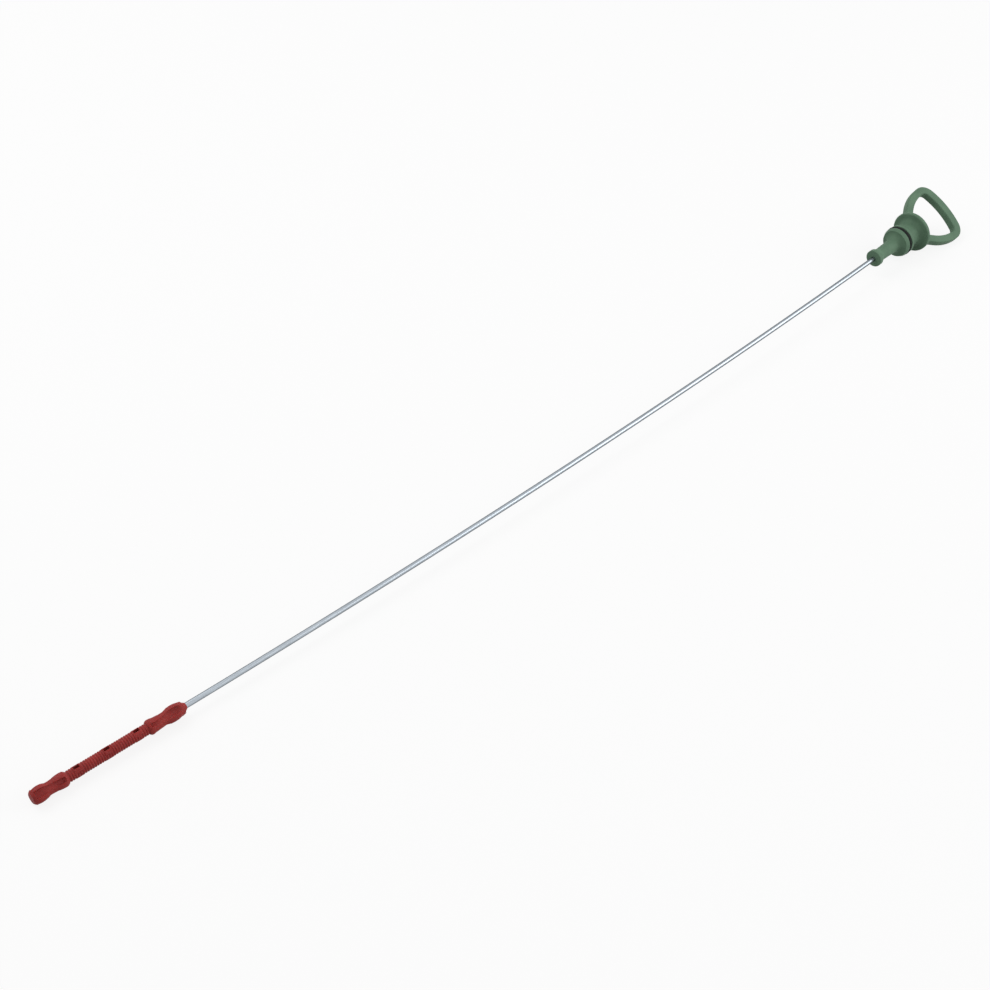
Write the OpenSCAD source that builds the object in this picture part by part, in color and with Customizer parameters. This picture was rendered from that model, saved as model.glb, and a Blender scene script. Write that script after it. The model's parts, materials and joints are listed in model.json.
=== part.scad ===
// Engine oil dipstick: a moulded level indicator on a long bright wire, and a moulded handle that closes the
// filler tube with a sealing ring and is pulled by its finger loop.
//
// The dipstick lies on a bench as it comes to rest, on a fin of its indicator, the rim of its flange and one
// corner of its finger loop. +X runs from the indicator to the loop, along the handle's axis as seen from
// above, and +Z is up. The origin is on the bench, under the middle of the whole.
//
// Handle and indicator are drawn along X in frames of their own. The handle's starts at the end face of its
// collar, where the wire leaves it, and the indicator's at its free end.

/* [Wire] */
// Diameter of the wire
wire_d = 2.5; // [2:0.1:3.2]
// Length of wire that shows between the indicator and the handle
wire_len = 472.5; // [300:1:700]
// How far the middle of the wire stands off the line between its ends
wire_bow = 4.8; // [2:0.1:12]
// Depth of the wire's end in the handle
wire_in_handle = 16; // [8:1:24]
// Depth of the wire's end in the indicator
wire_in_tip = 12; // [6:1:14]
// Gap round the wire where it is moulded in
wire_gap = 0.02; // [0.01:0.01:0.1]

/* [Collar and neck] */
// Diameter of the collar at the end of the neck
collar_d = 9.4; // [8.4:0.1:11]
// Length of the collar with its rounded edge
collar_len = 2.5; // [1.8:0.1:4]
// Rounding of the edge of the collar's end face
collar_edge = 0.35; // [0.2:0.05:0.8]
// Diameter of the neck beside the collar
neck_d = 7.1; // [5.6:0.1:7.8]
// Diameter of the neck beside the plug
neck_root_d = 7.7; // [6:0.1:8.2]
// Distance from the collar's end face to the underside of the plug
neck_len = 21.0; // [17:0.1:40]
// Radius of the long hollow between collar and neck
collar_fillet = 8; // [4:0.5:9]
// Fillet between neck and plug
neck_fillet = 3.4; // [1:0.1:3.5]

/* [Plug] */
// Diameter of the two lands that fit in the tube
plug_d = 16.7; // [16:0.1:20]
// Length of the land below the ring groove, with its lead
lower_land = 2.4; // [2.3:0.1:4]
// Length of the land above the ring groove
upper_land = 1.8; // [1.2:0.1:4]
// Length of the sloping lead at the start of the plug
plug_lead = 1.9; // [0.4:0.1:2.2]
// How far the lead comes in from the land
lead_drop = 0.75; // [0.2:0.05:0.9]
// Diameter of the plug's waist above the lands
waist_d = 13.4; // [12.6:0.1:14]
// Length from the upper land to the flange
waist_len = 9.1; // [6:0.1:14]
// Fillet between waist and flange
waist_fillet = 2.4; // [0.8:0.1:2.6]

/* [Sealing ring] */
// Thickness of the ring's round section
ring_t = 2.3; // [2:0.1:2.6]
// How far the ring stands out of its groove
ring_proud = 0.15; // [0:0.05:0.4]
// Side gap between the ring and each wall of its groove
ring_gap = 0.1; // [0.05:0.05:0.3]

/* [Flange] */
// Diameter of the flange
flange_d = 22.7; // [21:0.1:28]
// Thickness of the flange
flange_t = 2.6; // [1.8:0.1:4]
// Rounding of the flange's rim
flange_edge = 0.8; // [0.3:0.1:0.85]

/* [Finger loop] */
// Overall width of the finger loop
loop_w = 36; // [32:0.1:44]
// Height of the finger loop above the flange
loop_h = 33.5; // [30:0.1:44]
// Thickness of the loop across its plane
loop_t = 5.2; // [4:0.1:7]
// Width of the loop's bar where it leaves the flange
root_w = 4.7; // [4:0.1:7]
// Width of the loop's bar at its widest place
leg_w = 4.5; // [4:0.1:6]
// Width of the pull bar at the far end
pull_w = 5.4; // [4.4:0.1:7]
// Rounding of the bar's long edges
loop_edge = 1.6; // [0.6:0.1:1.9]
// Outer radius of the curved legs
leg_r = 31; // [28:0.5:40]
// Radius of the hollow between each leg and the flange
foot_r = 11.5; // [6:0.5:16]
// Outer radius of the two corners
corner_r = 8.5; // [7.5:0.1:11]
// Outer radius of the pull bar
pull_r = 41; // [30:0.5:80]

/* [Indicator] */
// Length of the guide at the free end
end_guide_len = 16; // [14:0.1:24]
// Length of the ribbed bar between the guides
bar_len = 38; // [34:0.1:70]
// Length of the guide at the wire
wire_guide_len = 18.7; // [17:0.1:26]
// Diameter of the ribbed bar over its ribs
bar_d = 5.0; // [4.8:0.1:5.6]
// Depth of the grooves between the ribs
rib_depth = 0.25; // [0.1:0.05:0.35]
// Distance from rib to rib
rib_pitch = 1.12; // [1:0.02:2]
// Largest diameter of the end guide
end_guide_d = 7.7; // [7.2:0.1:9]
// Largest diameter of the guide at the wire
wire_guide_d = 7.5; // [7.2:0.1:9]
// Diameter of the guides at their waists
guide_waist_d = 6.0; // [5.8:0.1:6.6]
// Diameter of the guides' shoulders beside the bar
shoulder_d = 6.8; // [6.5:0.1:7.2]
// Width of the floor of each flute
flute_floor = 2.2; // [1.6:0.1:2.6]
// Width of each flute at its mouth
flute_mouth = 3.5; // [3:0.1:4]
// Distance of the flutes' floors from the axis
flute_depth_r = 2.25; // [2:0.05:2.4]
// Length of each window along the bar
window_len = 2.7; // [1.6:0.1:4]
// Width of each window across the bar
window_w = 1.6; // [0.8:0.1:1.8]
// Distance from window to window
window_pitch = 14.1; // [8:0.1:15]
// Turn of the windows from the flutes, round the axis
window_turn = -46; // [-90:1:90]

/* [Hidden] */

ROUND = 48;          // fragments round the handle
TIP_ROUND = 24;      // fragments round the indicator
RING_ROUND = 16;     // fragments round the sealing ring's section
ARC_STEPS = 5;       // segments in each fillet
WIRE_SIDES = 16;
WIRE_STEPS = 24;     // straight stretches along the bow
WINDOWS = 3;
FLUTES = 4;

ring_seat = 0.02;    // how far the sealing ring stands off the floor of its groove
flute_turn = 4;      // turn of the indicator's flutes from the finger loop's plane
pad_margin = 0.6;    // smooth length of bar before and after each window
end_step = 0.15;     // how far each guide's inner end stands over the bar
nose_wall = 0.15;    // wall round the wire where it enters the indicator
flute_cap = 1.1;     // length left unfluted at the free end
flute_stop = 1.0;    // length left unfluted at each end of the bar
flute_nose = 2.6;    // length left unfluted where the wire enters

// Outlines of the guides: [distance from the guide's outer end, share of its largest radius]
END_BULGE = [[0, 0.6], [0.4, 0.73], [1.1, 0.87], [2.1, 0.965], [3.4, 1], [4.7, 0.985], [5.6, 0.94]];
WIRE_BULGE = [[9.3, 0.88], [8.3, 0.97], [6.8, 1], [5.2, 0.99], [4.1, 0.93], [3, 0.83], [1.6, 0.75],
    [1.3, 0.6]];
// Outlines of the shoulders: [distance from the bar, share of the shoulder's radius]
END_SHOULDER = [[4.8, 0.94], [3.6, 0.98], [2.4, 1], [1.3, 0.98], [0.6, 0.9]];
WIRE_SHOULDER = [[0.5, 0.92], [1.2, 1], [2.2, 0.98], [3.4, 0.94], [4.6, 0.91]];

// The wire's bow is one arc, level with the bench, that leaves the handle along its axis
bow_r = wire_len * wire_len / (8 * wire_bow) + wire_bow / 2;
bow_turn = wire_len / bow_r * 180 / PI;
bow_back = bow_r * sin(bow_turn);
bow_aside = bow_r * (1 - cos(bow_turn));

// Places along the handle's axis, from the collar's end face
lower_x = neck_len;
groove_w = ring_t + 2 * ring_gap;
groove_x = lower_x + lower_land;
upper_x = groove_x + groove_w;
waist_x = upper_x + upper_land;
flange_x = waist_x + waist_len;
flange_top = flange_x + flange_t;
loop_end = flange_top + loop_h;

groove_r = plug_d / 2 + ring_proud - ring_t - ring_seat;

// Centres of the loop's outer arcs
far_x = loop_end - pull_r;
corner_turn = asin((loop_w / 2 - corner_r) / (pull_r - corner_r));
side_x = far_x + (pull_r - corner_r) * cos(corner_turn);
root_x = flange_x + flange_t / 2;
foot_turn = acos((root_x - side_x) / (leg_r + foot_r));

// Places along the indicator's axis, from its free end
bar_x = end_guide_len;
wire_guide_x = bar_x + bar_len;
tip_len = wire_guide_x + wire_guide_len;
end_bulge_x = END_BULGE[4][0];

// Rest on three points: a fin of the end guide, the flange's rim and one corner of the loop
touch_x = flange_x + flange_edge;
tip_touch_x = -(bow_back + (tip_len - end_bulge_x) * cos(bow_turn));
slope = asin((flange_d - end_guide_d) / 2 / (touch_x - tip_touch_x));
axis_z = flange_d / 2 - touch_x * sin(slope);
side_reach = loop_w / 2 - loop_edge;
face_reach = loop_t / 2 - loop_edge;
corner_z = axis_z + side_x * sin(slope) - loop_edge;
lean = asin(corner_z / norm([side_reach, face_reach])) - atan2(face_reach, side_reach);

// Middle of the whole, as seen from above
tip_end = [-(bow_back + tip_len * cos(bow_turn)), bow_aside + tip_len * sin(bow_turn)];
mid_x = (tip_end[0] + loop_end) / 2;
mid_y = (tip_end[1] + end_guide_d / 2 - loop_w / 2 * cos(lean) - loop_t / 2 * sin(lean)) / 2;

function arc_points(centre, r, from, to, steps = ARC_STEPS) =
    [for (i = [0 : steps]) let (a = from + (to - from) * i / steps) centre + r * [cos(a), sin(a)]];

module at_rest() {
    translate([-mid_x, -mid_y, axis_z]) rotate([0, -slope, 0]) children();
}

module along_handle() {
    at_rest() rotate([lean, 0, 0]) children();
}

// The indicator is turned so that one flute faces up and to the side that the loop leans down to
module along_indicator() {
    at_rest() translate([tip_end[0], tip_end[1], 0]) rotate([0, 0, -bow_turn])
        rotate([lean + flute_turn, 0, 0]) children();
}

// Turns a profile of [distance along the axis, radius] about X
module turned(points, fragments) {
    rotate([0, 90, 0]) rotate_extrude($fn = fragments) polygon([for (p = points) [p[1], p[0]]]);
}

// Joins rings of points, each with as many points as the next, into one closed solid
module swept(rings) {
    count = len(rings[0]);
    last = len(rings) - 1;
    polyhedron(
        points = [for (ring = rings) each ring],
        faces = concat(
            [[for (j = [count - 1 : -1 : 0]) j]],
            [for (i = [0 : last - 1], j = [0 : count - 1]) let (k = (j + 1) % count)
                [i * count + j, i * count + k, (i + 1) * count + k, (i + 1) * count + j]],
            [[for (j = [0 : count - 1]) last * count + j]]
        ),
        convexity = 6
    );
}

// Half section of the handle's turned part, with the socket for the wire left open along the axis
function handle_profile() = let (
    socket_r = wire_d / 2 + wire_gap,
    collar_r = collar_d / 2,
    neck_r = neck_d / 2,
    plug_r = plug_d / 2,
    waist_r = waist_d / 2,
    flange_r = flange_d / 2,
    neck_root_r = neck_root_d / 2,
    fillet_turn = acos(1 - (collar_r - neck_r) / collar_fillet),
    fillet_x = collar_len + collar_fillet * sin(fillet_turn)
) concat(
    [[wire_in_handle, 0], [wire_in_handle, socket_r], [0, socket_r]],
    [for (p = arc_points([collar_edge, collar_r - collar_edge], collar_edge, 180, 90)) p],
    [for (p = arc_points([fillet_x, neck_r + collar_fillet], collar_fillet, 270 - fillet_turn, 270)) p],
    [for (p = arc_points([lower_x - neck_fillet, neck_root_r + neck_fillet], neck_fillet, 270, 360)) p],
    [[lower_x, plug_r - lead_drop], [lower_x + plug_lead, plug_r], [groove_x, plug_r]],
    [[groove_x, groove_r], [upper_x, groove_r], [upper_x, plug_r], [waist_x, plug_r]],
    [[waist_x, waist_r]],
    [for (p = arc_points([flange_x - waist_fillet, waist_r + waist_fillet], waist_fillet, 270, 360)) p],
    [for (p = arc_points([flange_x + flange_edge, flange_r - flange_edge], flange_edge, 180, 90)) p],
    [for (p = arc_points([flange_top - flange_edge, flange_r - flange_edge], flange_edge, 90, 0)) p],
    [[flange_top, 0]]
);

// Places on the loop's outer outline, from one foot to the middle of the pull bar. Each is a centre, a radius
// and the angle of the outward normal there. A foot's outline is hollow, so its centre lies outside.
function half_outline() = let (
    leg_centre = [side_x, loop_w / 2 - leg_r],
    leg_start = leg_centre + leg_r * [cos(foot_turn), sin(foot_turn)],
    foot_centre = leg_start + foot_r * [cos(foot_turn), sin(foot_turn)]
) concat(
    [for (i = [0 : 4]) [foot_centre, -foot_r, 90 + (foot_turn - 90) * i / 5]],
    [for (i = [0 : 7]) [leg_centre, leg_r, foot_turn - (foot_turn - 90) * i / 8]],
    [for (i = [0 : 9]) [[side_x, loop_w / 2 - corner_r], corner_r, 90 - (90 - corner_turn) * i / 10]],
    [for (i = [0 : 4]) [[far_x, 0], pull_r, corner_turn * (1 - i / 4)]]
);

function mirrored(place) = [[place[0][0], -place[0][1]], place[1], -place[2]];

// Width of the bar: it thickens from its widest reach down to the foot, and out to the pull bar
function bar_w(p, a) = p[0] < side_x
    ? leg_w + (root_w - leg_w) * pow((side_x - p[0]) / (side_x - root_x), 2)
    : leg_w + (pull_w - leg_w) * (1 + cos(2 * a)) / 2;

// A rounded rectangle w wide and t thick, from the outline inwards, as [inwards, across]
function bar_section(w, t) = concat(
    arc_points([w - loop_edge, t / 2 - loop_edge], loop_edge, 0, 90),
    arc_points([loop_edge, t / 2 - loop_edge], loop_edge, 90, 180),
    arc_points([loop_edge, loop_edge - t / 2], loop_edge, 180, 270),
    arc_points([w - loop_edge, loop_edge - t / 2], loop_edge, 270, 360)
);

function loop_ring(place) = let (
    n = [cos(place[2]), sin(place[2])],
    p = place[0] + place[1] * n
) [for (s = bar_section(bar_w(p, place[2]), loop_t)) [p[0] - n[0] * s[0], p[1] - n[1] * s[0], s[1]]];

module finger_loop() {
    half = half_outline();
    swept([
        for (place = half) loop_ring(place),
        for (i = [len(half) - 2 : -1 : 0]) loop_ring(mirrored(half[i]))
    ]);
}

module handle() {
    color([0.30, 0.42, 0.32]) along_handle() union() {
        turned(handle_profile(), ROUND);
        finger_loop();
    }
}

module sealing_ring() {
    ring_r = plug_d / 2 + ring_proud - ring_t / 2;
    color([0.08, 0.08, 0.09]) along_handle()
        translate([groove_x + groove_w / 2, 0, 0]) rotate([0, 90, 0])
            rotate_extrude($fn = ROUND) translate([ring_r, 0]) circle(d = ring_t, $fn = RING_ROUND);
}

// A ring of the wire's section, round a place in the plane of the bow where the wire heads along angle a
function wire_ring(place, a) = [for (j = [0 : WIRE_SIDES - 1]) let (b = j * 360 / WIRE_SIDES)
    [place[0] - sin(a) * cos(b) * wire_d / 2, place[1] + cos(a) * cos(b) * wire_d / 2, sin(b) * wire_d / 2]];

// One arc between two straight ends, which are moulded into the handle and the indicator
module wire() {
    tip_way = [-cos(bow_turn), sin(bow_turn)];
    inner_end = [-bow_back, bow_aside] + tip_way * (wire_in_tip - wire_gap);
    rings = concat(
        [wire_ring(inner_end, -bow_turn)],
        [for (i = [WIRE_STEPS : -1 : 0]) let (a = bow_turn * i / WIRE_STEPS)
            wire_ring([-bow_r * sin(a), bow_r * (1 - cos(a))], -a)],
        [wire_ring([wire_in_handle - wire_gap, 0], 0)]
    );
    color([0.72, 0.76, 0.80]) at_rest() swept(rings);
}

// Half section of the indicator: end guide, ribbed bar and the guide at the wire
function indicator_profile() = let (
    end_r = end_guide_d / 2,
    wire_end_r = wire_guide_d / 2,
    waist_r = guide_waist_d / 2,
    shoulder_r = shoulder_d / 2,
    bar_r = bar_d / 2,
    groove_r = bar_r - rib_depth,
    socket_r = wire_d / 2 + wire_gap,
    ribs = floor((bar_len - 1) / rib_pitch),
    first = bar_x + (bar_len - ribs * rib_pitch) / 2,
    w = wire_guide_x
) concat(
    [[0, 0]],
    [for (p = END_BULGE) [p[0], end_r * p[1]]],
    [[6.9, waist_r * 1.03], [8, waist_r], [bar_x - 5.4, waist_r * 1.01]],
    [for (p = END_SHOULDER) [bar_x - p[0], shoulder_r * p[1]]],
    [[bar_x, bar_r + end_step], [bar_x, groove_r]],
    [for (i = [0 : ribs - 1], p = [[0.2, 0], [0.4, 1], [0.75, 1], [0.95, 0]])
        [first + (i + p[0]) * rib_pitch, groove_r + p[1] * rib_depth]],
    [[w, groove_r], [w, bar_r + end_step]],
    [for (p = WIRE_SHOULDER) [w + p[0], shoulder_r * p[1]]],
    [[w + 6.2, waist_r], [tip_len - 10.4, waist_r]],
    [for (p = WIRE_BULGE) [tip_len - p[0], wire_end_r * p[1]]],
    [[tip_len, socket_r + nose_wall], [tip_len, socket_r], [tip_len - wire_in_tip, socket_r]],
    [[tip_len - wire_in_tip, 0]]
);

// One flute with sloping walls, cut from a guide between two places on the axis
module flute(from, to) {
    depth = end_guide_d / 2 + 1 - flute_depth_r;
    mouth = flute_floor + (flute_mouth - flute_floor) * depth / (end_guide_d / 2 - flute_depth_r);
    translate([from, 0, flute_depth_r]) rotate([90, 0, 90])
        linear_extrude(height = to - from)
            polygon([[-flute_floor / 2, 0], [flute_floor / 2, 0], [mouth / 2, depth], [-mouth / 2, depth]]);
}

module indicator() {
    window_first = bar_x + (bar_len - (WINDOWS - 1) * window_pitch) / 2;
    pad_len = window_len + 2 * pad_margin;
    color([0.62, 0.14, 0.14]) along_indicator() difference() {
        union() {
            turned(indicator_profile(), TIP_ROUND);
            // Smooth pads round the windows, level with the ribs
            for (i = [0 : WINDOWS - 1])
                translate([window_first + i * window_pitch - pad_len / 2, 0, 0]) rotate([0, 90, 0])
                    cylinder(d = bar_d, h = pad_len, $fn = TIP_ROUND);
        }
        for (i = [0 : FLUTES - 1]) rotate([i * 360 / FLUTES, 0, 0]) {
            flute(flute_cap, bar_x - flute_stop);
            flute(wire_guide_x + flute_stop, tip_len - flute_nose);
        }
        for (i = [0 : WINDOWS - 1])
            translate([window_first + i * window_pitch, 0, 0]) rotate([window_turn, 0, 0])
                cube([window_len, window_w, bar_d + 2], center = true);
    }
}

handle();
sealing_ring();
wire();
indicator();
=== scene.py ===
import json
from math import acos, asin, cos, pi, radians, sin

import bpy
from mathutils import Matrix, Vector


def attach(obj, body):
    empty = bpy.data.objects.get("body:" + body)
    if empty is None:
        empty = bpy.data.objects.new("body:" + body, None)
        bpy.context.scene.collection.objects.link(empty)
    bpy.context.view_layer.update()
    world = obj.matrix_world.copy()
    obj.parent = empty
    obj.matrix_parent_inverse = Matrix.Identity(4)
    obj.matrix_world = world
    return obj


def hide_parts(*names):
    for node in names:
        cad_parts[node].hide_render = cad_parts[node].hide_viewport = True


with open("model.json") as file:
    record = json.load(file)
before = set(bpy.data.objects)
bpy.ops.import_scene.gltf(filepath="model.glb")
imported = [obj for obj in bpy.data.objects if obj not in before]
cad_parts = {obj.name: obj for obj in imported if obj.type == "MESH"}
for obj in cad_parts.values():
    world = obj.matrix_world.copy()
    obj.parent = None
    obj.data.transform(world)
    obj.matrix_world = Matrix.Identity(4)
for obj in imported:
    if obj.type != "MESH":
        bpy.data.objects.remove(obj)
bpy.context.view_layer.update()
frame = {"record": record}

# Each piece is modelled in millimetres along X, from its own start, and then laid in its place in metres
MM = 0.001
TO_METRES = Matrix.Scale(MM, 4)

# Points closer than this are welded
WELD = 0.0005
# How far a cutter reaches past the piece
CUT_PAST = 1
# Faces that meet at less than this many degrees are shaded as one
SMOOTH_TURN = 35
INDICATOR_SMOOTH_TURN = 30
# Steps round each turned piece, round the wire and along its bow
HANDLE_STEPS = 128
RING_STEPS = 144
INDICATOR_STEPS = 64
WIRE_STEPS = 32
BOW_STEPS = 96

# Wire, with its room all round and at both ends in the mouldings
WIRE_D = 2.5
WIRE_LEN = 472.5
WIRE_BOW = 4.8
WIRE_IN_HANDLE = 16
WIRE_IN_TIP = 12
WIRE_ROOM = 0.02

# Collar, neck and plug, from the collar's end face
COLLAR_D = 9.4
COLLAR_LEN = 2.5
COLLAR_EDGE = 0.35
NECK_D = 7.1
NECK_ROOT_D = 7.7
NECK_LEN = 21.0
COLLAR_FILLET = 8
NECK_FILLET = 3.4
PLUG_D = 16.7
LOWER_LAND = 2.4
UPPER_LAND = 1.8
PLUG_LEAD = 1.9
LEAD_DROP = 0.75
WAIST_D = 13.4
WAIST_LEN = 9.1
WAIST_FILLET = 2.4
LAND_EDGE = 0.15
LAND_EDGE_STEPS = 3

# Sealing ring, with the flash line of its mould
RING_T = 2.3
RING_PROUD = 0.15
RING_GAP = 0.1
RING_SEAT = 0.02
SECTION_STEPS = 32
FLASH = 0.05
FLASH_W = 0.08
FLASH_ROOT_TURN = 6

# Flange and finger loop
FLANGE_D = 22.7
FLANGE_T = 2.6
FLANGE_EDGE = 0.8
LOOP_W = 36
LOOP_H = 33.5
LOOP_T = 4.4
ROOT_W = 4.7
LEG_W = 4.5
PULL_W = 5.4
LOOP_EDGE = 0.8
LOOP_EDGE_STEPS = 6
LEG_R = 31
FOOT_R = 11.5
CORNER_R = 8.5
PULL_R = 41
LOOP_LEAN = radians(34.3487)
FOOT_STEPS = 7
LEG_STEPS = 12
CORNER_STEPS = 14
PULL_STEPS = 8
# Edges along the loop are level within this, and no longer than this
LEVEL_WITHIN = 0.01
LONGEST_ALONG = 3.5

# Indicator, from its free end
END_GUIDE_LEN = 16
BAR_LEN = 38
WIRE_GUIDE_LEN = 18.7
BAR_D = 5.0
RIBS = 33
RIB_DEPTH = 0.25
RIB_PITCH = 1.12
END_GUIDE_D = 7.7
WIRE_GUIDE_D = 7.5
GUIDE_WAIST_D = 6.0
SHOULDER_D = 6.8
WIRE_WAIST_START = 6.2
WIRE_WAIST_END = 10.4
END_STEP = 0.15
NOSE_WALL = 0.15

# Outlines of the guides, each point as a distance and a share of the full radius. The distances go from the
# free end for END_BULGE and END_WAIST, from the wire's end for WIRE_BULGE and from the bar for the shoulders.
END_BULGE = [(0, 0.6), (0.4, 0.73), (1.1, 0.87), (2.1, 0.965), (3.4, 1), (4.7, 0.985), (5.6, 0.94)]
END_WAIST = [(6.9, 1.03), (8, 1), (END_GUIDE_LEN - 5.4, 1.01)]
END_SHOULDER = [(4.8, 0.94), (3.6, 0.98), (2.4, 1), (1.3, 0.98), (0.6, 0.9)]
WIRE_SHOULDER = [(0.5, 0.92), (1.2, 1), (2.2, 0.98), (3.4, 0.94), (4.6, 0.91)]
WIRE_BULGE = [(9.3, 0.88), (8.3, 0.97), (6.8, 1), (5.2, 0.99), (4.1, 0.93), (3, 0.83), (1.6, 0.75),
              (1.3, 0.6)]
# One rib, each point as a share of the pitch and of the rib's height
RIB = [(0.2, 0), (0.32, 0.7), (0.45, 1), (0.7, 1), (0.83, 0.7), (0.95, 0)]

# Flutes
FLUTES = 4
FLUTE_FLOOR = 2.9
FLUTE_MOUTH = 4.0
FLUTE_DEPTH_R = 2.25
FLUTE_ROUND = 0.3
FLUTE_ROUND_END = -15
FLUTE_ROUND_STEPS = 4
FLUTE_TURN = radians(4)
FLUTE_CAP = 1.1
FLUTE_STOP = 1.0
FLUTE_NARROW = 0.68
FLUTE_NOSE = 2.6

# Windows, and the smooth pads round them
WINDOWS = 3
WINDOW_LEN = 2.7
WINDOW_W = 1.75
WINDOW_PITCH = 14.1
WINDOW_TURN = radians(-43)
PAD_LEN = 3.3
PAD_W = 4.3
PAD_PROUD = 0.04

LOWER_X = NECK_LEN
GROOVE_X = LOWER_X + LOWER_LAND
GROOVE_W = RING_T + 2 * RING_GAP
UPPER_X = GROOVE_X + GROOVE_W
WAIST_X = UPPER_X + UPPER_LAND
FLANGE_X = WAIST_X + WAIST_LEN
FLANGE_TOP = FLANGE_X + FLANGE_T
LOOP_END = FLANGE_TOP + LOOP_H
BAR_X = END_GUIDE_LEN
WIRE_GUIDE_X = BAR_X + BAR_LEN
TIP_LEN = WIRE_GUIDE_X + WIRE_GUIDE_LEN

# Where each flute's cutter goes: the distance along the indicator, the share of the full width, the shift to
# one side and the height of the floor over its own
END_FLUTE = [
    (FLUTE_CAP, 1, 0, 0),
    (5, 1, 0, 0),
    (9, 0.85, -0.2, 0.2),
    (BAR_X - 4, FLUTE_NARROW, -0.45, -0.2),
    (BAR_X - 2.2, FLUTE_NARROW, -0.5, -0.2),
    (BAR_X - FLUTE_STOP, FLUTE_NARROW, -0.5, 1),
]
WIRE_FLUTE = [
    (WIRE_GUIDE_X + FLUTE_STOP, 0.5, 0.1, 0),
    (WIRE_GUIDE_X + 2.2, 0.5, 0.1, 0),
    (WIRE_GUIDE_X + 3.2, FLUTE_NARROW, -0.3, 0.3),
    (WIRE_GUIDE_X + 6, 0.78, -0.35, 0.35),
    (WIRE_GUIDE_X + 9.5, 1, 0.15, 0),
    (TIP_LEN - 5, 1, 0.25, 0),
    (TIP_LEN - FLUTE_NOSE, 1, 0.25, 1),
]

# Colours, each as its darker and its lighter shade
GREEN = ((0.108, 0.188, 0.123), (0.14, 0.238, 0.155))
RED = ((0.29, 0.036, 0.034), (0.38, 0.052, 0.047))
BLACK = ((0.011, 0.013, 0.012), (0.018, 0.02, 0.019))
STEEL = ((0.37, 0.41, 0.45), (0.48, 0.53, 0.58))
# Painted shade for the wire's edges, darker where its faces turn away: a painted reflection of darker
# surroundings
STEEL_PAINTED_EDGE_SHADE = (0.23, 0.25, 0.27)
STEEL_TINT = (0.2, 0.22, 0.24)
WHITE = (1, 1, 1)

# Mouldings: the sheen, how deep the light goes in, the grain and the clouds
MOULDED_SHEEN = 0.12
SEE_IN_DEPTH = 0.0015
SEE_IN_SPREAD = (1, 0.12, 0.1)
RED_SEE_IN = 0.4
PLASTIC_ROUGHNESS = 0.55
RUBBER_ROUGHNESS = 0.6
ROUGHNESS_SPREAD = 0.06
PLASTIC_GRAIN = 2600
RUBBER_GRAIN = 3200
GREEN_GRAIN_HEIGHT = 0.00006
FINE_GRAIN_HEIGHT = 0.00003
GRAIN_STRENGTH = 0.6
GRAIN_DETAIL = 3
GRAIN_ROUGHNESS = 0.6
CLOUD_SCALE = 140
CLOUD_DETAIL = 4
CLOUD_RANGE = (0.3, 0.7)

# Drawn lines of the wire, and how far its faces turn away where the painted edge shade starts and is full
LINE_SCALE = (15, 2500, 2500)
LINE_DETAIL = 4
LINE_RANGE = (0.3, 0.65)
LINE_HEIGHT = 0.00002
LINE_STRENGTH = 0.5
STEEL_ROUGHNESS = (0.28, 0.4)
PAINTED_EDGE_BLEND = 0.5
PAINTED_EDGE_RANGE = (0.15, 0.6)

# Sockets of the Mix node's colours, which share their names with others and so go by number
MIX_FACTOR = 0
MIX_A = 6
MIX_B = 7
MIX_RESULT = 2

# Camera, as the photograph was taken
CAMERA_AZIMUTH = radians(46.7)
CAMERA_ELEVATION = radians(39.12)
CAMERA_ROLL = radians(-0.575)
CAMERA_DISTANCE = 0.8501
LOOK_AT = Vector((-0.0462, 0.01615, 0.0003))
LENS = 65.42
SENSOR = 36
CLIP_START = 0.01

# Studio: two broad lamps on either side, under an even sky
LAMP_DISTANCE = 1.4
LAMP_SIZE = 0.9
KEY_WAY = Vector((-0.2, 0.58, 0.79))
KEY_POWER = 6.2
FILL_WAY = Vector((0.68, -0.62, 0.38))
FILL_POWER = 8
SKY_LEVEL = 0.5
SKY_SEEN = 1
FLOOR_SIZE = 12
FLOOR_SHADE = 0.5
FLOOR_SEEN = 0.95
FLOOR_GLOW = 0.86
FLOOR_ROUGHNESS = 0.9

# Radius of the wire's bow, and the angle that it turns through
BOW_R = WIRE_LEN ** 2 / (8 * WIRE_BOW) + WIRE_BOW / 2
BOW_TURN = WIRE_LEN / BOW_R

# The plug's mount gives the handle's axis, and how far it slopes down to the indicator
plug = next(m for m in frame["record"]["mounts"] if m["name"] == "plug")
slope = asin(-plug["axis"][2])
plug_mid = (LOWER_X + PLUG_LEAD + WAIST_X) / 2
collar_end = Vector(plug["pos_m"]) + MM * plug_mid * Vector(plug["axis"])
AT_REST = Matrix.Translation(collar_end) @ Matrix.Rotation(-slope, 4, "Y") @ TO_METRES
ALONG_HANDLE = AT_REST @ Matrix.Rotation(LOOP_LEAN, 4, "X")
tip_end = Vector((-BOW_R * sin(BOW_TURN) - TIP_LEN * cos(BOW_TURN),
                  BOW_R * (1 - cos(BOW_TURN)) + TIP_LEN * sin(BOW_TURN), 0))
ALONG_INDICATOR = (AT_REST @ Matrix.Translation(tip_end) @ Matrix.Rotation(-BOW_TURN, 4, "Z")
                   @ Matrix.Rotation(LOOP_LEAN + FLUTE_TURN, 4, "X"))


# Modelling steps that several pieces share

def arc(centre, r, start, end, steps=8):
    """Points on an arc in the XY plane, from one angle to another in degrees."""
    turns = [radians(start + (end - start) * i / steps) for i in range(steps + 1)]
    return [(centre[0] + r * cos(a), centre[1] + r * sin(a)) for a in turns]


def active():
    """The object that the last operator added or left active."""
    return bpy.context.view_layer.objects.active


def only(*pieces):
    """Selects these pieces alone, and the last of them becomes the active one."""
    bpy.ops.object.select_all(action="DESELECT")
    for piece in pieces:
        piece.select_set(True)
    bpy.context.view_layer.objects.active = pieces[-1]


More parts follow.
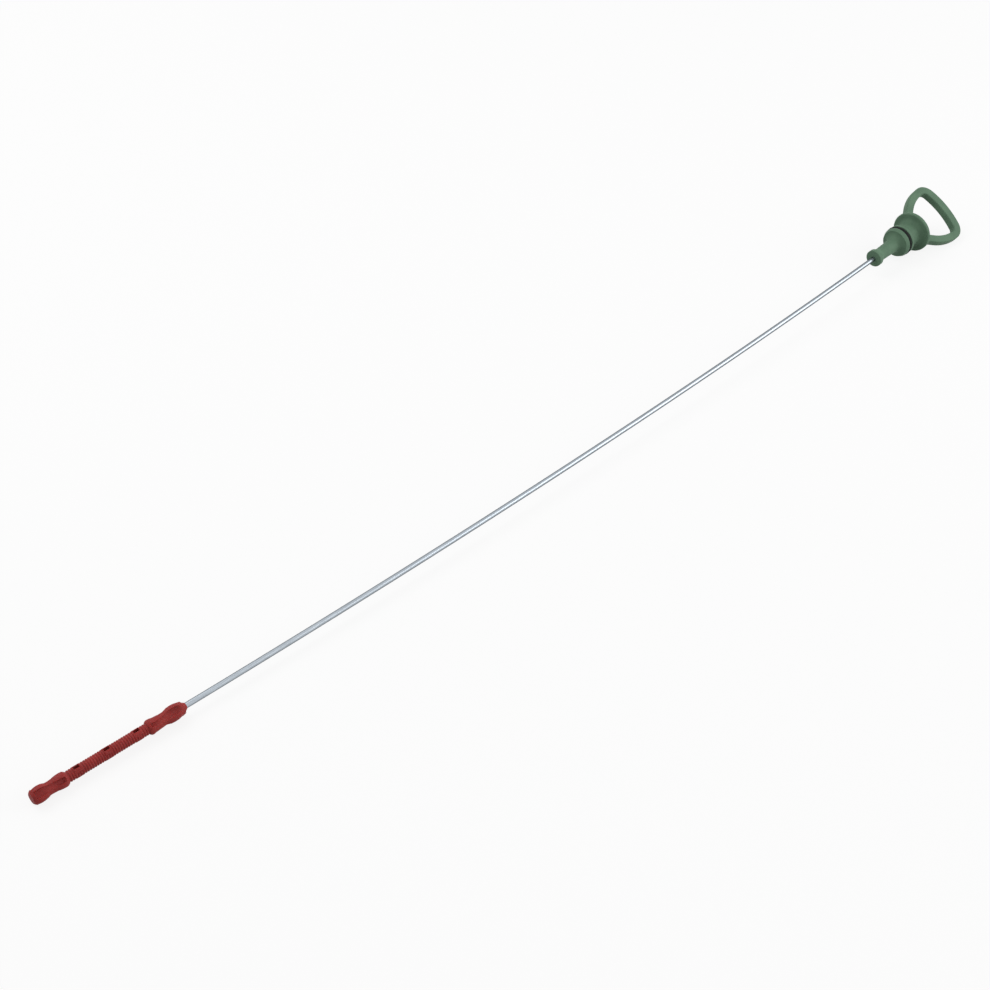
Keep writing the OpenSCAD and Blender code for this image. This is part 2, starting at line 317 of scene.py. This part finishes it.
def draw_line(name, points):
    """A chain of edges: one vertex, extruded from place to place."""
    bpy.ops.object.select_all(action="DESELECT")
    bpy.ops.mesh.primitive_plane_add(size=1)
    line = active()
    line.name = name
    bpy.ops.object.mode_set(mode="EDIT")
    bpy.ops.mesh.select_mode(type="VERT")
    bpy.ops.mesh.select_all(action="SELECT")
    bpy.ops.mesh.merge(type="CENTER")
    places = [Vector((p[0], p[1], p[2] if len(p) > 2 else 0)) for p in points]
    bpy.ops.transform.translate(value=places[0])
    for before, after in zip(places, places[1:]):
        bpy.ops.mesh.extrude_vertices_move(TRANSFORM_OT_translate={"value": after - before})
    bpy.ops.object.mode_set(mode="OBJECT")
    return line


def face_outward():
    """Turns all faces of the edited piece outward, and leaves edit mode."""
    bpy.ops.mesh.select_all(action="SELECT")
    bpy.ops.mesh.normals_make_consistent(inside=False)
    bpy.ops.object.mode_set(mode="OBJECT")


def weld():
    """Merges the points of the edited piece that lie together."""
    bpy.ops.mesh.select_all(action="SELECT")
    bpy.ops.mesh.remove_doubles(threshold=WELD)


def turn_about_x(line, steps):
    """Spins a half section about X into a closed solid."""
    only(line)
    bpy.ops.object.mode_set(mode="EDIT")
    bpy.ops.mesh.select_all(action="SELECT")
    bpy.ops.mesh.spin(steps=steps, angle=2 * pi, center=(0, 0, 0), axis=(1, 0, 0))
    weld()
    face_outward()
    return line


def combine(piece, other, operation):
    """Joins another solid to the piece, cuts it out or keeps what both share, and removes the other one."""
    only(piece)
    modifier = piece.modifiers.new("Boolean", "BOOLEAN")
    modifier.operation = operation
    modifier.solver = "EXACT"
    modifier.object = other
    bpy.ops.object.modifier_apply(modifier=modifier.name)
    bpy.data.objects.remove(other)


def bevel_edges(piece, wanted, offset, segments):
    """Rounds the edges of a piece whose two ends satisfy a test."""
    only(piece)
    bpy.ops.object.mode_set(mode="EDIT")
    bpy.ops.mesh.select_mode(type="EDGE")
    bpy.ops.mesh.select_all(action="DESELECT")
    bpy.ops.object.mode_set(mode="OBJECT")
    for edge in piece.data.edges:
        edge.select = wanted(*[piece.data.vertices[v].co for v in edge.vertices])
    bpy.ops.object.mode_set(mode="EDIT")
    bpy.ops.mesh.bevel(offset=offset, segments=segments, profile=0.5, affect="EDGES")
    bpy.ops.object.mode_set(mode="OBJECT")


def lay(piece, place, smooth_turn=SMOOTH_TURN):
    """Puts a finished piece in its place, keeps the place in its mesh and smooths its round faces."""
    only(piece)
    piece.matrix_world = place
    bpy.ops.object.transform_apply(location=True, rotation=True, scale=True)
    bpy.ops.object.shade_smooth_by_angle(angle=radians(smooth_turn))
    return piece


# Handle

def handle_section():
    """Half section of the collar, neck, plug and flange, with the wire's socket in the collar."""
    socket_r = WIRE_D / 2 + WIRE_ROOM
    collar_r = COLLAR_D / 2
    neck_r = NECK_D / 2
    root_r = NECK_ROOT_D / 2
    plug_r = PLUG_D / 2
    waist_r = WAIST_D / 2
    flange_r = FLANGE_D / 2
    groove_r = plug_r + RING_PROUD - RING_T - RING_SEAT
    fillet_turn = acos(1 - (collar_r - neck_r) / COLLAR_FILLET)
    fillet_x = COLLAR_LEN + COLLAR_FILLET * sin(fillet_turn)
    return (
        [(WIRE_IN_HANDLE, 0), (WIRE_IN_HANDLE, socket_r), (0, socket_r)]
        + arc((COLLAR_EDGE, collar_r - COLLAR_EDGE), COLLAR_EDGE, 180, 90)
        + arc((fillet_x, neck_r + COLLAR_FILLET), COLLAR_FILLET, 270 - fillet_turn * 180 / pi, 270)
        + arc((LOWER_X - NECK_FILLET, root_r + NECK_FILLET), NECK_FILLET, 270, 360)
        + [(LOWER_X, plug_r - LEAD_DROP), (LOWER_X + PLUG_LEAD, plug_r)]
        + arc((GROOVE_X - LAND_EDGE, plug_r - LAND_EDGE), LAND_EDGE, 90, 0, LAND_EDGE_STEPS)
        + [(GROOVE_X, groove_r), (UPPER_X, groove_r)]
        + arc((UPPER_X + LAND_EDGE, plug_r - LAND_EDGE), LAND_EDGE, 180, 90, LAND_EDGE_STEPS)
        + arc((WAIST_X - LAND_EDGE, plug_r - LAND_EDGE), LAND_EDGE, 90, 0, LAND_EDGE_STEPS)
        + [(WAIST_X, waist_r)]
        + arc((FLANGE_X - WAIST_FILLET, waist_r + WAIST_FILLET), WAIST_FILLET, 270, 360)
        + arc((FLANGE_X + FLANGE_EDGE, flange_r - FLANGE_EDGE), FLANGE_EDGE, 180, 90)
        + arc((FLANGE_TOP - FLANGE_EDGE, flange_r - FLANGE_EDGE), FLANGE_EDGE, 90, 0)
        + [(FLANGE_TOP, 0)]
    )


def loop_outline():
    """Pairs of places on the outer and inner outlines of half the loop, from its foot to the pull bar."""
    far_x = LOOP_END - PULL_R
    corner_turn = asin((LOOP_W / 2 - CORNER_R) / (PULL_R - CORNER_R)) * 180 / pi
    side_x = far_x + (PULL_R - CORNER_R) * cos(radians(corner_turn))
    root_x = FLANGE_X + FLANGE_T / 2
    foot_reach = LEG_R + FOOT_R
    foot_turn = acos((root_x - side_x) / foot_reach) * 180 / pi
    leg_centre = Vector((side_x, LOOP_W / 2 - LEG_R))
    foot_centre = leg_centre + foot_reach * Vector((cos(radians(foot_turn)), sin(radians(foot_turn))))
    # Each stretch has its centre, its radius, its first and last angle, and its steps
    stretches = [
        (foot_centre, -FOOT_R, 90, foot_turn, FOOT_STEPS),
        (leg_centre, LEG_R, foot_turn, 90, LEG_STEPS),
        (Vector((side_x, LOOP_W / 2 - CORNER_R)), CORNER_R, 90, corner_turn, CORNER_STEPS),
        (Vector((far_x, 0)), PULL_R, corner_turn, 0, PULL_STEPS),
    ]
    places = []
    for centre, r, start, end, steps in stretches:
        for i in range(steps):
            turn = start + (end - start) * i / steps
            normal = Vector((cos(radians(turn)), sin(radians(turn))))
            point = centre + r * normal
            if point.x < side_x:
                width = LEG_W + (ROOT_W - LEG_W) * ((side_x - point.x) / (side_x - root_x)) ** 2
            else:
                width = LEG_W + (PULL_W - LEG_W) * (1 + cos(radians(2 * turn))) / 2
            places.append((point, point - width * normal))
    places.append((Vector((LOOP_END, 0)), Vector((LOOP_END - PULL_W, 0))))
    return places


def runs_along(a, b):
    """Tells an edge along the loop from those that cross it, which are longer or not level."""
    level = abs(a.z - b.z) < LEVEL_WITHIN
    return level and (a - b).length < LONGEST_ALONG


def make_loop():
    """The finger loop: its two outlines drawn flat, bridged, thickened and rounded."""
    half = loop_outline()
    whole = half + [(Vector((o.x, -o.y)), Vector((i.x, -i.y))) for o, i in reversed(half[:-1])]
    bottom = -LOOP_T / 2
    outer = draw_line("loop_outer", [(o.x, o.y, bottom) for o, i in whole])
    inner = draw_line("loop_inner", [(i.x, i.y, bottom) for o, i in whole])
    only(inner, outer)
    bpy.ops.object.join()
    loop = active()
    bpy.ops.object.mode_set(mode="EDIT")
    bpy.ops.mesh.select_mode(type="EDGE")
    bpy.ops.mesh.select_all(action="SELECT")
    bpy.ops.mesh.bridge_edge_loops()
    bpy.ops.mesh.select_all(action="SELECT")
    bpy.ops.mesh.extrude_region_move(TRANSFORM_OT_translate={"value": (0, 0, LOOP_T)})
    face_outward()
    bevel_edges(loop, runs_along, LOOP_EDGE, LOOP_EDGE_STEPS)
    return loop


def make_handle():
    """The turned body, joined to the finger loop."""
    handle = turn_about_x(draw_line("handle_moulding", handle_section()), HANDLE_STEPS)
    combine(handle, make_loop(), "UNION")
    return lay(handle, ALONG_HANDLE)


# Sealing ring

def make_sealing_ring():
    """A round section with the fine flash line that its mould leaves round the outside, spun into a ring."""
    section_r = RING_T / 2
    middle_x = GROOVE_X + GROOVE_W / 2
    middle_r = PLUG_D / 2 + RING_PROUD - section_r
    section = arc((middle_x, middle_r), section_r, 90 + FLASH_ROOT_TURN, 450 - FLASH_ROOT_TURN, SECTION_STEPS)
    crest = middle_r + section_r + FLASH
    flash = [(middle_x + FLASH_W / 2, crest), (middle_x - FLASH_W / 2, crest)]
    ring = turn_about_x(draw_line("sealing_ring_rubber", section + flash + section[:1]), RING_STEPS)
    return lay(ring, ALONG_HANDLE)


# Wire

def make_wire():
    """A disc extruded out of the handle, spun along the bow and extruded into the indicator."""
    bpy.ops.object.select_all(action="DESELECT")
    bpy.ops.mesh.primitive_circle_add(vertices=WIRE_STEPS, radius=WIRE_D / 2, fill_type="NGON",
                                      rotation=(0, -pi / 2, 0))
    wire = active()
    wire.name = "drawn_wire"
    bpy.ops.object.transform_apply(location=True, rotation=True, scale=True)
    bpy.ops.object.mode_set(mode="EDIT")
    bpy.ops.mesh.select_all(action="SELECT")
    bpy.ops.transform.translate(value=(WIRE_IN_HANDLE - WIRE_ROOM, 0, 0))
    bpy.ops.mesh.extrude_region_move(TRANSFORM_OT_translate={"value": (WIRE_ROOM - WIRE_IN_HANDLE, 0, 0)})
    bpy.ops.mesh.spin(steps=BOW_STEPS, angle=BOW_TURN, center=(0, BOW_R, 0), axis=(0, 0, 1))
    into_tip = Vector((-cos(BOW_TURN), sin(BOW_TURN), 0)) * (WIRE_IN_TIP - WIRE_ROOM)
    bpy.ops.mesh.extrude_region_move(TRANSFORM_OT_translate={"value": into_tip})
    weld()
    face_outward()
    return lay(wire, AT_REST)


# Indicator

def window_places():
    """Distances of the windows' middles along the indicator."""
    middle = BAR_X + BAR_LEN / 2
    return [middle + (i - (WINDOWS - 1) / 2) * WINDOW_PITCH for i in range(WINDOWS)]


def indicator_section():
    """Half section of the end guide, the ribbed bar and the guide at the wire."""
    end_r = END_GUIDE_D / 2
    wire_end_r = WIRE_GUIDE_D / 2
    waist_r = GUIDE_WAIST_D / 2
    shoulder_r = SHOULDER_D / 2
    bar_r = BAR_D / 2
    groove_r = bar_r - RIB_DEPTH
    socket_r = WIRE_D / 2 + WIRE_ROOM
    first = BAR_X + (BAR_LEN - RIBS * RIB_PITCH) / 2
    end_guide = [(0, 0)] + [(x, end_r * share) for x, share in END_BULGE]
    end_guide += [(x, waist_r * share) for x, share in END_WAIST]
    end_guide += [(BAR_X - x, shoulder_r * share) for x, share in END_SHOULDER]
    end_guide += [(BAR_X, bar_r + END_STEP), (BAR_X, groove_r)]
    ribbed = [(first + (i + along) * RIB_PITCH, groove_r + out * RIB_DEPTH)
              for i in range(RIBS) for along, out in RIB]
    wire_guide = [(WIRE_GUIDE_X, groove_r), (WIRE_GUIDE_X, bar_r + END_STEP)]
    wire_guide += [(WIRE_GUIDE_X + x, shoulder_r * share) for x, share in WIRE_SHOULDER]
    wire_guide += [(WIRE_GUIDE_X + WIRE_WAIST_START, waist_r), (TIP_LEN - WIRE_WAIST_END, waist_r)]
    wire_guide += [(TIP_LEN - x, wire_end_r * share) for x, share in WIRE_BULGE]
    wire_guide += [(TIP_LEN, socket_r + NOSE_WALL), (TIP_LEN, socket_r)]
    wire_guide += [(TIP_LEN - WIRE_IN_TIP, socket_r), (TIP_LEN - WIRE_IN_TIP, 0)]
    return end_guide + ribbed + wire_guide


def flute_cutter(places, turn):
    """One flute's space: its section filled and pushed from place to place."""
    depth = END_GUIDE_D / 2 + CUT_PAST - FLUTE_DEPTH_R
    half_floor = FLUTE_FLOOR / 2
    half_mouth = half_floor + (FLUTE_MOUTH - FLUTE_FLOOR) / 2 * depth / (END_GUIDE_D / 2 - FLUTE_DEPTH_R)
    top = FLUTE_DEPTH_R + depth
    x, share, shift, rise = places[0]
    corner = arc((half_floor - FLUTE_ROUND, FLUTE_DEPTH_R + FLUTE_ROUND), FLUTE_ROUND, -90, FLUTE_ROUND_END,
                 FLUTE_ROUND_STEPS)
    half = corner + [(half_mouth, top)]
    section = half + [(-y, z) for y, z in reversed(half)]
    cutter = draw_line("flute_cutter", [(x, y * share + shift, z + rise) for y, z in section])
    bpy.ops.object.mode_set(mode="EDIT")
    bpy.ops.mesh.select_all(action="SELECT")
    bpy.ops.mesh.edge_face_add()
    for next_x, next_share, next_shift, next_rise in places[1:]:
        step = (next_x - x, next_shift - shift, next_rise - rise)
        bpy.ops.mesh.extrude_region_move(TRANSFORM_OT_translate={"value": step})
        bpy.ops.transform.resize(value=(1, next_share / share, 1), center_override=(next_x, next_shift, 0))
        x, share, shift, rise = next_x, next_share, next_shift, next_rise
    face_outward()
    cutter.rotation_euler = (turn, 0, 0)
    bpy.ops.object.transform_apply(location=True, rotation=True, scale=True)
    return cutter


def box_through_bar(x, length, width):
    """A box straight through the bar, turned as the windows are."""
    bpy.ops.object.select_all(action="DESELECT")
    bpy.ops.mesh.primitive_cube_add(size=1, location=(x, 0, 0), rotation=(WINDOW_TURN, 0, 0),
                                    scale=(length, width, BAR_D + 2 * CUT_PAST))
    return active()


def make_window_pad(x):
    """The smooth patch round a window, on both sides of the bar."""
    bpy.ops.object.select_all(action="DESELECT")
    bpy.ops.mesh.primitive_cylinder_add(vertices=INDICATOR_STEPS, radius=BAR_D / 2 + PAD_PROUD, depth=PAD_LEN,
                                        location=(x, 0, 0), rotation=(0, pi / 2, 0))
    pad = active()
    bpy.ops.object.transform_apply(location=True, rotation=True, scale=True)
    combine(pad, box_through_bar(x, PAD_LEN + CUT_PAST, PAD_W), "INTERSECT")
    return pad


def make_indicator():
    """The turned body, with its flutes and windows cut."""
    indicator = turn_about_x(draw_line("indicator_moulding", indicator_section()), INDICATOR_STEPS)
    for i in range(FLUTES):
        turn = i * 2 * pi / FLUTES
        combine(indicator, flute_cutter(END_FLUTE, turn), "DIFFERENCE")
        combine(indicator, flute_cutter(WIRE_FLUTE, turn), "DIFFERENCE")
    for x in window_places():
        combine(indicator, make_window_pad(x), "UNION")
        combine(indicator, box_through_bar(x, WINDOW_LEN, WINDOW_W), "DIFFERENCE")
    return lay(indicator, ALONG_INDICATOR, INDICATOR_SMOOTH_TURN)


# Materials

def grain_group():
    """Fine spark-eroded grain of a mould, as a height, and the faint clouds that it leaves in the colour."""
    group = bpy.data.node_groups.new("Moulded grain", "ShaderNodeTree")
    for name, kind in (("Vector", "NodeSocketVector"), ("Grain scale", "NodeSocketFloat"),
                       ("Cloud scale", "NodeSocketFloat")):
        group.interface.new_socket(name=name, in_out="INPUT", socket_type=kind)
    for name in ("Height", "Clouds"):
        group.interface.new_socket(name=name, in_out="OUTPUT", socket_type="NodeSocketFloat")
    nodes, links = group.nodes, group.links
    source = nodes.new("NodeGroupInput")
    sink = nodes.new("NodeGroupOutput")
    fine = nodes.new("ShaderNodeTexNoise")
    fine.inputs["Detail"].default_value = GRAIN_DETAIL
    fine.inputs["Roughness"].default_value = GRAIN_ROUGHNESS
    clouds = nodes.new("ShaderNodeTexNoise")
    clouds.inputs["Detail"].default_value = CLOUD_DETAIL
    links.new(source.outputs["Vector"], fine.inputs["Vector"])
    links.new(source.outputs["Grain scale"], fine.inputs["Scale"])
    links.new(source.outputs["Vector"], clouds.inputs["Vector"])
    links.new(source.outputs["Cloud scale"], clouds.inputs["Scale"])
    links.new(fine.outputs["Fac"], sink.inputs["Height"])
    links.new(clouds.outputs["Fac"], sink.inputs["Clouds"])
    return group


def start_material(name):
    """A new material, with its nodes, links and shader."""
    material = bpy.data.materials.new(name)
    material.use_nodes = True
    nodes, links = material.node_tree.nodes, material.node_tree.links
    return material, nodes, links, nodes["Principled BSDF"]


def shade_between(nodes, links, value, reach, shades):
    """A colour between two shades, by where a value lies in its reach."""
    ramp = nodes.new("ShaderNodeValToRGB")
    for element, position, shade in zip(ramp.color_ramp.elements, reach, shades):
        element.position = position
        element.color = (*shade, 1)
    links.new(value, ramp.inputs["Fac"])
    return ramp.outputs["Color"]


def number_between(nodes, links, value, low, high):
    """A number between two others, by a value from 0 to 1."""
    span = nodes.new("ShaderNodeMapRange")
    span.inputs["To Min"].default_value = low
    span.inputs["To Max"].default_value = high
    links.new(value, span.inputs["Value"])
    return span.outputs["Result"]


def raise_surface(nodes, links, shader, height, distance, strength):
    """Bump of a shader, from a height."""
    bump = nodes.new("ShaderNodeBump")
    bump.inputs["Distance"].default_value = distance
    bump.inputs["Strength"].default_value = strength
    links.new(height, bump.inputs["Height"])
    links.new(bump.outputs["Normal"], shader.inputs["Normal"])


def moulded_material(name, shades, roughness, grain, grain_scale, grain_height, see_in=0.0):
    """A moulded plastic or rubber: two near shades in faint clouds, under a fine grain. The light goes in a
    little where see_in is over 0, which keeps the shade of its holes and grooves warm."""
    material, nodes, links, shader = start_material(name)
    shader.inputs["Specular IOR Level"].default_value = MOULDED_SHEEN
    shader.inputs["Subsurface Weight"].default_value = see_in
    shader.inputs["Subsurface Scale"].default_value = SEE_IN_DEPTH
    shader.inputs["Subsurface Radius"].default_value = SEE_IN_SPREAD
    place = nodes.new("ShaderNodeTexCoord")
    texture = nodes.new("ShaderNodeGroup")
    texture.node_tree = grain
    texture.inputs["Grain scale"].default_value = grain_scale
    texture.inputs["Cloud scale"].default_value = CLOUD_SCALE
    links.new(place.outputs["Object"], texture.inputs["Vector"])
    clouds = texture.outputs["Clouds"]
    links.new(shade_between(nodes, links, clouds, CLOUD_RANGE, shades), shader.inputs["Base Color"])
    rough = number_between(nodes, links, clouds, roughness - ROUGHNESS_SPREAD, roughness + ROUGHNESS_SPREAD)
    links.new(rough, shader.inputs["Roughness"])
    raise_surface(nodes, links, shader, texture.outputs["Height"], grain_height, GRAIN_STRENGTH)
    return material


def wire_material():
    """Bright drawn steel, with fine lines along its length and painted shade at its edges where its faces
    turn away, a painted reflection of darker surroundings.
    """
    material, nodes, links, shader = start_material("Drawn steel")
    shader.inputs["Metallic"].default_value = 1
    shader.inputs["Specular Tint"].default_value = (*STEEL_TINT, 1)
    place = nodes.new("ShaderNodeTexCoord")
    stretch = nodes.new("ShaderNodeMapping")
    stretch.inputs["Scale"].default_value = LINE_SCALE
    texture = nodes.new("ShaderNodeTexNoise")
    texture.inputs["Scale"].default_value = 1
    texture.inputs["Detail"].default_value = LINE_DETAIL
    links.new(place.outputs["Object"], stretch.inputs["Vector"])
    links.new(stretch.outputs["Vector"], texture.inputs["Vector"])
    lines = texture.outputs["Fac"]
    # Painted shade: the steel's colour darkens towards its edges as its faces turn away, a painted reflection
    # of darker surroundings
    facing = nodes.new("ShaderNodeLayerWeight")
    facing.inputs["Blend"].default_value = PAINTED_EDGE_BLEND
    turned = nodes.new("ShaderNodeMapRange")
    turned.inputs["From Min"].default_value = PAINTED_EDGE_RANGE[0]
    turned.inputs["From Max"].default_value = PAINTED_EDGE_RANGE[1]
    links.new(facing.outputs["Facing"], turned.inputs["Value"])
    painted_edge_shade = nodes.new("ShaderNodeMix")
    painted_edge_shade.data_type = "RGBA"
    painted_edge_shade.inputs[MIX_B].default_value = (*STEEL_PAINTED_EDGE_SHADE, 1)
    links.new(turned.outputs["Result"], painted_edge_shade.inputs[MIX_FACTOR])
    links.new(shade_between(nodes, links, lines, LINE_RANGE, STEEL), painted_edge_shade.inputs[MIX_A])
    links.new(painted_edge_shade.outputs[MIX_RESULT], shader.inputs["Base Color"])
    links.new(number_between(nodes, links, lines, *STEEL_ROUGHNESS), shader.inputs["Roughness"])
    raise_surface(nodes, links, shader, lines, LINE_HEIGHT, LINE_STRENGTH)
    return material


def dress(piece, node, material):
    """Gives a piece its material and lets it stand for its solid."""
    piece.data.materials.clear()
    piece.data.materials.append(material)
    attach(piece, "root")
    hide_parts(node)


# Camera, lamps, sky and floor

def make_camera():
    """The camera, from the direction, roll and distance that fit the photograph."""
    way = Vector((sin(CAMERA_AZIMUTH) * cos(CAMERA_ELEVATION), cos(CAMERA_AZIMUTH) * cos(CAMERA_ELEVATION),
                  -sin(CAMERA_ELEVATION)))
    level = Vector((cos(CAMERA_AZIMUTH), -sin(CAMERA_AZIMUTH), 0))
    upright = level.cross(way)
    right = level * cos(CAMERA_ROLL) + upright * sin(CAMERA_ROLL)
    up = upright * cos(CAMERA_ROLL) - level * sin(CAMERA_ROLL)
    data = bpy.data.cameras.new("Camera")
    data.lens = LENS
    data.sensor_width = SENSOR
    data.clip_start = CLIP_START
    camera = bpy.data.objects.new("Camera", data)
    bpy.context.scene.collection.objects.link(camera)
    turn = Matrix((right, up, -way)).transposed().to_4x4()
    camera.matrix_world = Matrix.Translation(LOOK_AT - CAMERA_DISTANCE * way) @ turn
    bpy.context.scene.camera = camera


def make_lamp(name, way, power):
    """A broad lamp in a given direction from the origin, which it faces."""
    data = bpy.data.lights.new(name, "AREA")
    data.energy = power
    data.size = LAMP_SIZE
    lamp = bpy.data.objects.new(name, data)
    bpy.context.scene.collection.objects.link(lamp)
    lamp.location = way.normalized() * LAMP_DISTANCE
    lamp.rotation_mode = "QUATERNION"
    lamp.rotation_quaternion = way.to_track_quat("Z", "Y")


def add_clamped(nodes, links, a, b):
    """The sum of two values, at most 1."""
    total = nodes.new("ShaderNodeMath")
    total.operation = "ADD"
    total.use_clamp = True
    links.new(a, total.inputs[0])
    links.new(b, total.inputs[1])
    return total.outputs[0]


def seen_rays(nodes, links):
    """1 for what the camera sees, also in a reflection or through glass, and 0 for light on the object."""
    path = nodes.new("ShaderNodeLightPath")
    direct = add_clamped(nodes, links, path.outputs["Is Camera Ray"], path.outputs["Is Glossy Ray"])
    return add_clamped(nodes, links, direct, path.outputs["Is Transmission Ray"])


def make_world():
    """An even sky that lights the object at its own level and shows white."""
    world = bpy.data.worlds.new("Studio")
    bpy.context.scene.world = world
    world.use_nodes = True
    nodes, links = world.node_tree.nodes, world.node_tree.links
    background = nodes["Background"]
    background.inputs["Color"].default_value = (*WHITE, 1)
    strength = number_between(nodes, links, seen_rays(nodes, links), SKY_LEVEL, SKY_SEEN)
    links.new(strength, background.inputs["Strength"])


def make_floor():
    """A pale matt floor that shows white and keeps the dipstick's shadow."""
    bpy.ops.object.select_all(action="DESELECT")
    bpy.ops.mesh.primitive_plane_add(size=FLOOR_SIZE)
    floor = active()
    floor.name = "floor"
    material, nodes, links, shader = start_material("Pale floor")
    seen = seen_rays(nodes, links)
    links.new(number_between(nodes, links, seen, FLOOR_SHADE, FLOOR_SEEN), shader.inputs["Base Color"])
    shader.inputs["Roughness"].default_value = FLOOR_ROUGHNESS
    shader.inputs["Specular IOR Level"].default_value = 0
    glow = nodes.new("ShaderNodeEmission")
    share = nodes.new("ShaderNodeMath")
    share.operation = "MULTIPLY"
    share.inputs[1].default_value = FLOOR_GLOW
    mix = nodes.new("ShaderNodeMixShader")
    links.new(seen, share.inputs[0])
    links.new(share.outputs[0], mix.inputs["Fac"])
    links.new(shader.outputs["BSDF"], mix.inputs[1])
    links.new(glow.outputs["Emission"], mix.inputs[2])
    links.new(mix.outputs["Shader"], nodes["Material Output"].inputs["Surface"])
    floor.data.materials.append(material)


make_camera()
make_lamp("Key", KEY_WAY, KEY_POWER)
make_lamp("Fill", FILL_WAY, FILL_POWER)
make_world()
make_floor()
grain = grain_group()
green = moulded_material("Green plastic", GREEN, PLASTIC_ROUGHNESS, grain, PLASTIC_GRAIN, GREEN_GRAIN_HEIGHT)
red = moulded_material("Red plastic", RED, PLASTIC_ROUGHNESS, grain, PLASTIC_GRAIN, FINE_GRAIN_HEIGHT,
                       RED_SEE_IN)
rubber = moulded_material("Black rubber", BLACK, RUBBER_ROUGHNESS, grain, RUBBER_GRAIN, FINE_GRAIN_HEIGHT)
dress(make_handle(), "handle", green)
dress(make_sealing_ring(), "sealing_ring", rubber)
dress(make_wire(), "wire", wire_material())
dress(make_indicator(), "indicator", red)

bpy.context.scene.view_settings.view_transform = "Standard"
